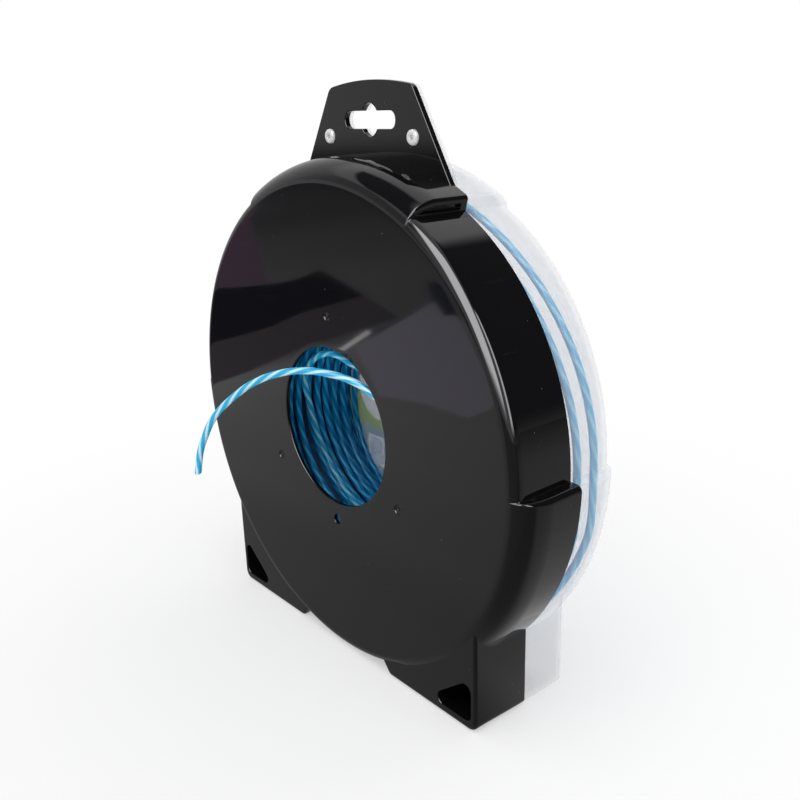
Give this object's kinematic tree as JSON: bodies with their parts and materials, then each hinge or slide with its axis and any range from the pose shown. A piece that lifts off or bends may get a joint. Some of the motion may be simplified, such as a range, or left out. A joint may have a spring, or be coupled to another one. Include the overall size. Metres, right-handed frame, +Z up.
{
  "type": "trimmer line dispenser",
  "caption": "Upright round case in moulded halves, with feet and a hanging tab, holding a coil of thick striped nylon line that is pulled out through a hole in its face.",
  "frame": {"origin": "middle of the case's outline on the floor it stands on, with the free end of the line left out", "axes": "+X across the face, to the right seen from the front; +Y from the front face to the back; +Z up"},
  "size_m": [0.2234, 0.0944, 0.2469],
  "materials": {
    "black_plastic": "high gloss moulded polypropylene or styrene, black",
    "frosted_plastic": "translucent natural polypropylene, smooth and slightly milky",
    "label_film": "unlettered adhesive film, pale with a green band",
    "blue_line": "drawn nylon, blue with a white stripe twisted round it"
  },
  "bodies": {
    "front_half": {"front_shell": "black_plastic", "line_coil": "blue_line", "line_inner_turns": "blue_line", "line_outer_turns": "blue_line", "line_free_end": "blue_line"},
    "rear_half": {"rear_shell": "frosted_plastic", "back_label": "label_film"}
  },
  "joints": [
    {"name": "rear_half_pull_off", "type": "slide", "parent": "front_half", "child": "rear_half", "axis": [0, 1, 0], "range_m": [0, 0.06]}
  ]
}
